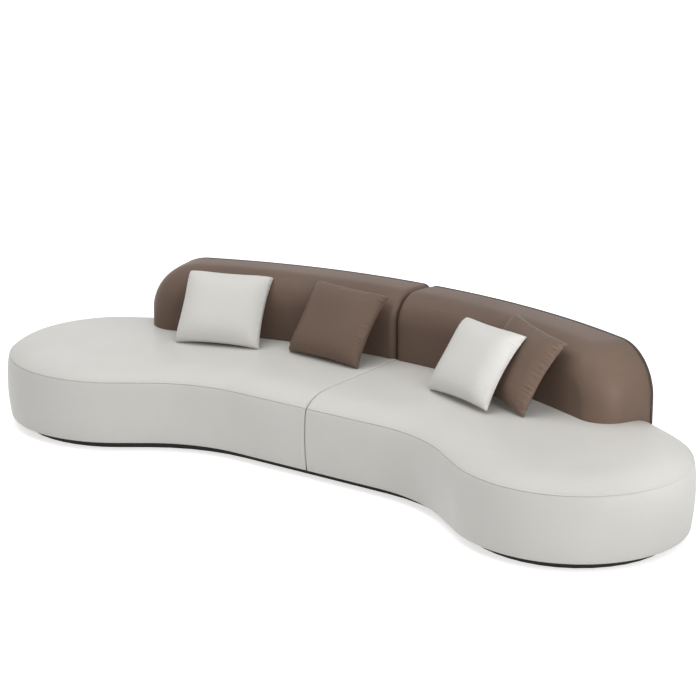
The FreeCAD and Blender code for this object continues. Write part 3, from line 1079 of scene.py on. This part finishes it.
    def rear_section(self, inset: float) -> np.ndarray:
        """Upper section of the rear panel, from the corner's pivot to its top edge.

        Args:
            inset: How far the leather is drawn in.

        Returns:
            Depth and height of each column.
        """
        top = self.top - inset - self.rear_drop - 1.6
        near_top = np.array([16, 9, 4, 1.4, 0.0])
        z = np.concatenate([np.linspace(self.pivot_height, top - 24, 14), top - near_top])
        edge = np.clip(1 - (top - z) / 9.0, 0, 1)
        depth = self.thickness - 3.0 * edge**2
        return np.stack([depth, z], axis=1)

    def rear_panel(self) -> Object:
        """Builds the rear panel."""
        sheet, _ = self.sheet_of(self.rear_section, True)
        return self.skinned(sheet, "back_rear", Hide.BROWN, self.rear_skin)

    def stitches(self) -> Object:
        """Builds the row of stitches beside the border.

        Returns:
            The stitches.
        """
        depth = self.thickness - self.border - 5.0
        sheet = Sheet()
        line, normal = [], []

        def section(inset: float) -> np.ndarray:
            """Place of the row and a place above it."""
            z = self.top - inset - float(self.fall(np.array([depth]))[0])
            return np.array([[depth, z], [depth, z + 1.0]])

        places = self.stations() + [(Place.DOWN, z) for z in self.low_heights()[::-1]]
        for kind, value in places:
            pair = self.place(kind, value, section(self.turned_in(kind, value)))
            line.append(pair[0])
            normal.append(pair[1] - pair[0])
        past_split = slice(self.split_places, None)
        stitch_row(sheet, np.array(line)[past_split], np.array(normal)[past_split])
        return make_piece(sheet, self.side, "back_stitches", self.finishes.threads[Hide.BROWN], STITCH_WELD)


@dataclass
class Cushion:
    """Loose cushion: two leather panels sewn round the edge, filled by cloth simulation."""

    name: str
    hide: Hide
    side: Side
    share: float
    off_roll: float
    turn: float
    lean: float
    roll: float
    seed: float
    finishes: Finishes
    back: Backrest
    width: float = 420.0
    height: float = 360.0
    front: float = 64.0
    rear: float = 36.0
    crown_height: float = 389.0
    rise: float = 4.0
    drawn_in: float = 14.0
    corner_softness: float = 0.025
    gather_pitch: float = 21.0
    gather_depth: float = 16.0
    pale_share: float = 0.4
    gather_reach: float = 9.0
    puff_mean: float = 0.64
    taller: float = 10.0
    lift: float = 6.0
    loosest: float = 14.0
    evening: int = 4
    cells: int = 52
    pressure: float = 5.0
    frames: int = 14

    def build(self) -> Object:
        """Builds the cushion on its body.

        Returns:
            The cushion.
        """
        piece = make_object(f"{self.name}_leather", self.envelope(), self.finishes.hides[self.hide])
        self.fill(piece)
        self.shape(piece)
        piece.data.transform(self.stand())
        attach(piece, self.name)
        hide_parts(f"{self.name}_cover", f"{self.name}_fill")
        return piece

    def envelope(self) -> Mesh:
        """Builds the sewn cover: two crowned panels joined all round.

        Returns:
            The closed mesh.
        """
        rows = round(self.cells * self.height / self.width)
        even = np.linspace(-1, 1, self.cells + 1), np.linspace(-1, 1, rows + 1)
        across, up = (0.5 * t + 0.5 * np.sin(t * math.pi / 2) for t in even)
        u, v = np.meshgrid(across, up, indexing="ij")
        soft = 1 - self.corner_softness * (u * v) ** 8
        x = u * soft * (self.width / 2 - self.drawn_in * (1 - v**2))
        y = v * soft * (self.height / 2 - self.drawn_in * (1 - u**2))
        sheet = Sheet()
        for sign, crown, corner, fullness in ((1, self.front, 4.0, 0.46), (-1, self.rear, 3.0, 0.62)):
            dome = np.clip((1 - np.abs(u) ** corner) * (1 - np.abs(v) ** corner), 0, 1) ** fullness
            z = crown * dome
            z[np.maximum(np.abs(u), np.abs(v)) > 0.9999] = 0.0
            sheet.add_grid(np.stack([x, y, sign * z], axis=2), flip=sign > 0)
        return sheet.to_mesh(f"{self.name}_leather", 1, 0.05)

    def gather(self, piece: Object) -> None:
        """Puckers the leather beside the seam, as the thread draws it in.

        Args:
            piece: The filled cover; changed in place.
        """
        co = points_of(piece) / MM
        normal = np.empty(len(co) * 3)
        piece.data.vertices.foreach_get("normal", normal)
        x, y, z = co.T
        y = y - self.taller / 2
        panel = np.where(z > 0, 0.0, 1.9)
        depth = self.gather_depth * (self.pale_share if self.hide is Hide.PALE else 1.0)
        total = np.zeros(len(co))
        sides = ((x, y, self.width / 2, self.height / 2, 1.0), (y, x, self.height / 2, self.width / 2, 0.45))
        for place, along, half, length, strength in sides:
            seam = half - self.drawn_in * (1 - (along / length) ** 2)
            for edge in (-1, 1):
                off_seam = np.clip(seam - place * edge, 0, None)
                shift = self.seed * 2.3 + edge + panel
                drift = 0.8 * np.sin(along * 0.043 + shift) + 0.5 * np.sin(along * 0.117 + 2 * shift)
                puff = np.abs(np.sin(along * math.pi / self.gather_pitch + drift)) - self.puff_mean
                uneven = 0.65 + 0.35 * np.sin(along * 0.061 + 3.1 * shift)
                reach = self.gather_reach * (1.0 + 0.5 * np.sin(along * 0.089 + 1.7 * shift))
                fade = np.exp(-off_seam / reach) * np.clip(off_seam / 3.0, 0.2, 1)
                corner = np.clip((1 - np.abs(along) / length) * 6, 0, 1)
                total += depth * strength * puff * uneven * fade * corner
        co += normal.reshape(-1, 3) * total[:, None]
        put_points(piece, co * MM)

    def fill(self, piece: Object) -> None:
        """Fills the cover by cloth simulation and keeps the result.

        Args:
            piece: The sewn cover; changed in place.
        """
        scene = bpy.context.scene
        before = points_of(piece)
        cloth = piece.modifiers.new("filling", "CLOTH")
        values = {"quality": 6, "mass": 0.35, "tension_stiffness": 22.0, "compression_stiffness": 8.0,
                  "shear_stiffness": 6.0, "bending_stiffness": 4.0, "tension_damping": 20.0,
                  "air_damping": 4.0, "use_pressure": True, "uniform_pressure_force": self.pressure}
        for label, value in values.items():
            setattr(cloth.settings, label, value)
        cloth.settings.effector_weights.gravity = 0.0
        cloth.collision_settings.use_collision = False
        cloth.point_cache.frame_start = 1
        cloth.point_cache.frame_end = self.frames
        for number in range(1, self.frames + 1):
            scene.frame_set(number)
        settle(piece)
        scene.frame_set(1)
        moved = self.evened(piece.data, points_of(piece) - before)
        far = np.linalg.norm(moved, axis=1)[:, None]
        kept = before + moved * np.minimum(1.0, self.loosest * MM / np.maximum(far, 1e-9))
        put_points(piece, kept)

    def evened(self, mesh: Mesh, moved: np.ndarray) -> np.ndarray:
        """Spreads a movement evenly over neighbouring vertices.

        Args:
            mesh: The mesh that moved.
            moved: Movement of each vertex.

        Returns:
            The evened movement.
        """
        ends = np.empty(len(mesh.edges) * 2, dtype=np.int64)
        mesh.edges.foreach_get("vertices", ends)
        first, second = ends.reshape(-1, 2).T
        count = np.bincount(ends, minlength=len(moved))[:, None]
        for _ in range(self.evening):
            total = np.zeros_like(moved)
            np.add.at(total, first, moved[second])
            np.add.at(total, second, moved[first])
            moved = 0.5 * moved + 0.5 * total / count
        return moved

    def shape(self, piece: Object) -> None:
        """Brings the filled cover to the cushion's own size, corner to corner and crown to crown.

        Args:
            piece: The filled cover; changed in place.
        """
        co = points_of(piece)
        co[:, 0] *= self.width * MM / np.ptp(co[:, 0])
        co[:, 1] *= (self.height + self.taller) * MM / np.ptp(co[:, 1])
        co[:, 1] += self.taller / 2 * MM
        over, under = co[:, 2] > 0, co[:, 2] <= 0
        co[over, 2] *= self.front * MM / co[over, 2].max()
        co[under, 2] *= self.rear * MM / -co[under, 2].min()
        put_points(piece, co)
        self.refine(piece)
        self.gather(piece)
        self.refine(piece)

    @staticmethod
    def refine(piece: Object) -> None:
        """Divides each face of a piece once.

        Args:
            piece: The cover; changed in place.
        """
        finer = piece.modifiers.new("finer", "SUBSURF")
        finer.levels = finer.render_levels = 1
        settle(piece)

    def stand(self) -> Matrix:
        """Turn and place of the cushion on the seat.

        Returns:
            Matrix from the cushion's own frame to the sofa's.
        """
        roll = math.radians(self.roll)
        lean = math.radians(90 - self.lean)
        drop = self.width / 2 * math.sin(abs(roll)) + self.height / 2 * math.cos(roll)
        slope = math.radians(self.lean)
        z = self.crown_height + self.rise + drop * math.cos(slope)
        back = self.back
        roll_above = back.top - back.front_roll - z
        off = back.front_roll + self.off_roll + roll_above * math.sin(slope)
        reach = back.rear_radius - back.thickness + back.front_roll - off / math.cos(slope)
        along = math.radians(back.arc * self.share)
        middle = back.axis() + np.array([math.sin(along), math.cos(along)]) * reach
        place = Matrix.Translation(Vector((self.side.value * middle[0], middle[1], z + self.lift)) * MM)
        turn = Matrix.Rotation(math.radians(self.turn), 4, "Z")
        return place @ turn @ Matrix.Rotation(lean, 4, "X") @ Matrix.Rotation(roll, 4, "Z")


def dress_frame(finishes: Finishes) -> None:
    """Gives each CAD node that shows the finish of its slot.

    Args:
        finishes: Every material of the sofa.
    """
    slots = {part["node"]: part["material_slot"] for part in frame["record"]["subparts"]}
    for name, node in frame["nodes"].items():
        material = finishes.boards.get(slots[name])
        if material is not None:
            node.data.materials.clear()
            node.data.materials.append(material)


@dataclass
class Studio:
    """Pale floor, soft light and the camera at the photograph's angle."""

    camera_place: tuple = (5.9687, -8.2588, 3.6528)
    camera_fall: float = 17.0866
    camera_turn: float = 35.8932
    lens: float = 121.54
    ambient: float = 0.45
    floor_tone: tuple = (0.9, 0.9, 0.9, 1.0)
    floor_glow: float = 0.62
    floor_reach: float = 30000.0

    def build(self) -> None:
        """Builds the floor, lights, world and camera."""
        self.floor()
        self.world()
        self.lamp("key", (5.0, -2.6, 4.0), 3.0, 88.0)
        self.lamp("low", (5.6, -1.8, 1.5), 1.6, 26.0)
        self.lamp("top", (-1.2, -0.6, 5.0), 4.5, 114.0)
        self.lamp("end", (3.7, -1.1, 1.0), 0.6, 0.9, (1.15, 0.17, 0.62), 18.0)
        self.camera()
        bpy.context.scene.view_settings.view_transform = "Standard"

    @staticmethod
    def seen(tree: NodeTree) -> NodeSocket:
        """Marks the rays that show the background: straight, mirrored or through glass.

        Args:
            tree: The material's or the world's nodes.

        Returns:
            1 on such rays and 0 on the rest.
        """
        rays = add_node(tree, "LightPath", {}).outputs
        total = rays["Is Camera Ray"]
        for name in ("Is Glossy Ray", "Is Transmission Ray"):
            total = add_node(tree, "Math", {0: total, 1: rays[name]}, operation="MAXIMUM").outputs["Value"]
        return total

    def floor(self) -> None:
        """Builds the floor, white to the camera and soft under the sofa."""
        sheet = Sheet()
        reach = self.floor_reach
        corners = np.array([[[-reach, -reach, 0.0], [reach, -reach, 0.0]],
                            [[-reach, reach, 0.0], [reach, reach, 0.0]]])
        sheet.add_grid(corners, flip=True)
        material, shader = principled("studio_floor")
        shader.inputs["Base Color"].default_value = self.floor_tone
        shader.inputs["Roughness"].default_value = 0.9
        shader.inputs["Specular IOR Level"].default_value = 0.1
        tree = material.node_tree
        level = add_node(tree, "Math", {0: self.seen(tree), 1: self.floor_glow}, operation="MULTIPLY")
        glow = add_node(tree, "Emission", {"Color": (1.0, 1.0, 1.0, 1.0), "Strength": level.outputs["Value"]})
        both = add_node(tree, "AddShader", {0: shader.outputs["BSDF"], 1: glow.outputs["Emission"]})
        tree.links.new(both.outputs["Shader"], tree.nodes["Material Output"].inputs["Surface"])
        make_object("studio_floor", sheet.to_mesh("studio_floor"), material)

    def world(self) -> None:
        """Builds the world: white to the camera, even soft light on the sofa."""
        world = bpy.data.worlds.new("studio")
        bpy.context.scene.world = world
        world.use_nodes = True
        tree = world.node_tree
        back = tree.nodes["Background"]
        back.inputs["Color"].default_value = (1.0, 1.0, 1.0, 1.0)
        level = add_node(tree, "MapRange", {"Value": self.seen(tree), "To Min": self.ambient, "To Max": 1.0})
        tree.links.new(level.outputs["Result"], back.inputs["Strength"])

    def lamp(self, name: str, place: tuple, size: float, power: float, target: tuple = (0.0, 0.0, 0.3),
             spread: float = 180.0) -> None:
        """Adds a soft lamp aimed at the sofa.

        Args:
            name: Name of the lamp.
            place: Its place in metres.
            size: Its width in metres.
            power: Its power in watts.
            target: Place that it points at, in metres.
            spread: Full angle of its beam in degrees.
        """
        data = bpy.data.lights.new(name, "AREA")
        data.energy = power
        data.size = size
        data.spread = math.radians(spread)
        lamp = bpy.data.objects.new(name, data)
        lamp.location = place
        aim = Vector(target) - Vector(place)
        lamp.rotation_euler = aim.to_track_quat("-Z", "Y").to_euler()
        bpy.context.scene.collection.objects.link(lamp)

    def camera(self) -> None:
        """Adds the camera at the photograph's angle."""
        data = bpy.data.cameras.new("camera")
        data.lens = self.lens
        data.sensor_width = 36.0
        data.clip_end = 200.0
        camera = bpy.data.objects.new("camera", data)
        camera.location = self.camera_place
        camera.rotation_euler = (math.radians(90 - self.camera_fall), 0.0, math.radians(self.camera_turn))
        bpy.context.scene.collection.objects.link(camera)
        bpy.context.scene.camera = camera


# Name, leather, half, share of the backrest's curve, gap to its roll, turn, lean and roll in degrees, seed.
CUSHIONS = (
    ("left_outer_cushion", Hide.PALE, Side.LEFT, 0.87, 27.0, 19.6, 38.0, -0.3, 0.4),
    ("left_inner_cushion", Hide.BROWN, Side.LEFT, 0.234, 42.0, -4.0, 36.6, -0.5, 1.3),
    ("right_front_cushion", Hide.PALE, Side.RIGHT, 0.64, 118.0, -21.5, 36.5, 2.5, 2.2),
    ("right_rear_cushion", Hide.BROWN, Side.RIGHT, 0.814, 45.5, -26.0, 32.5, -3.6, 3.1),
)


def main() -> None:
    """Builds the sofa's pieces in order and reports each one."""
    logging.basicConfig(level=logging.INFO, format="%(name)s: %(message)s")
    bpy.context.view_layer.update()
    Studio().build()
    finishes = Finishes().make()
    dress_frame(finishes)
    for side in Side:
        for piece in SeatHalf(side, finishes).build() + Backrest(side, finishes).build():
            LOG.info("%s: %d faces", piece.name, len(piece.data.polygons))
    back = Backrest(Side.RIGHT, finishes)
    for row in CUSHIONS:
        piece = Cushion(*row, finishes, back).build()
        LOG.info("%s: %d faces", piece.name, len(piece.data.polygons))


if __name__ == "__main__":
    main()
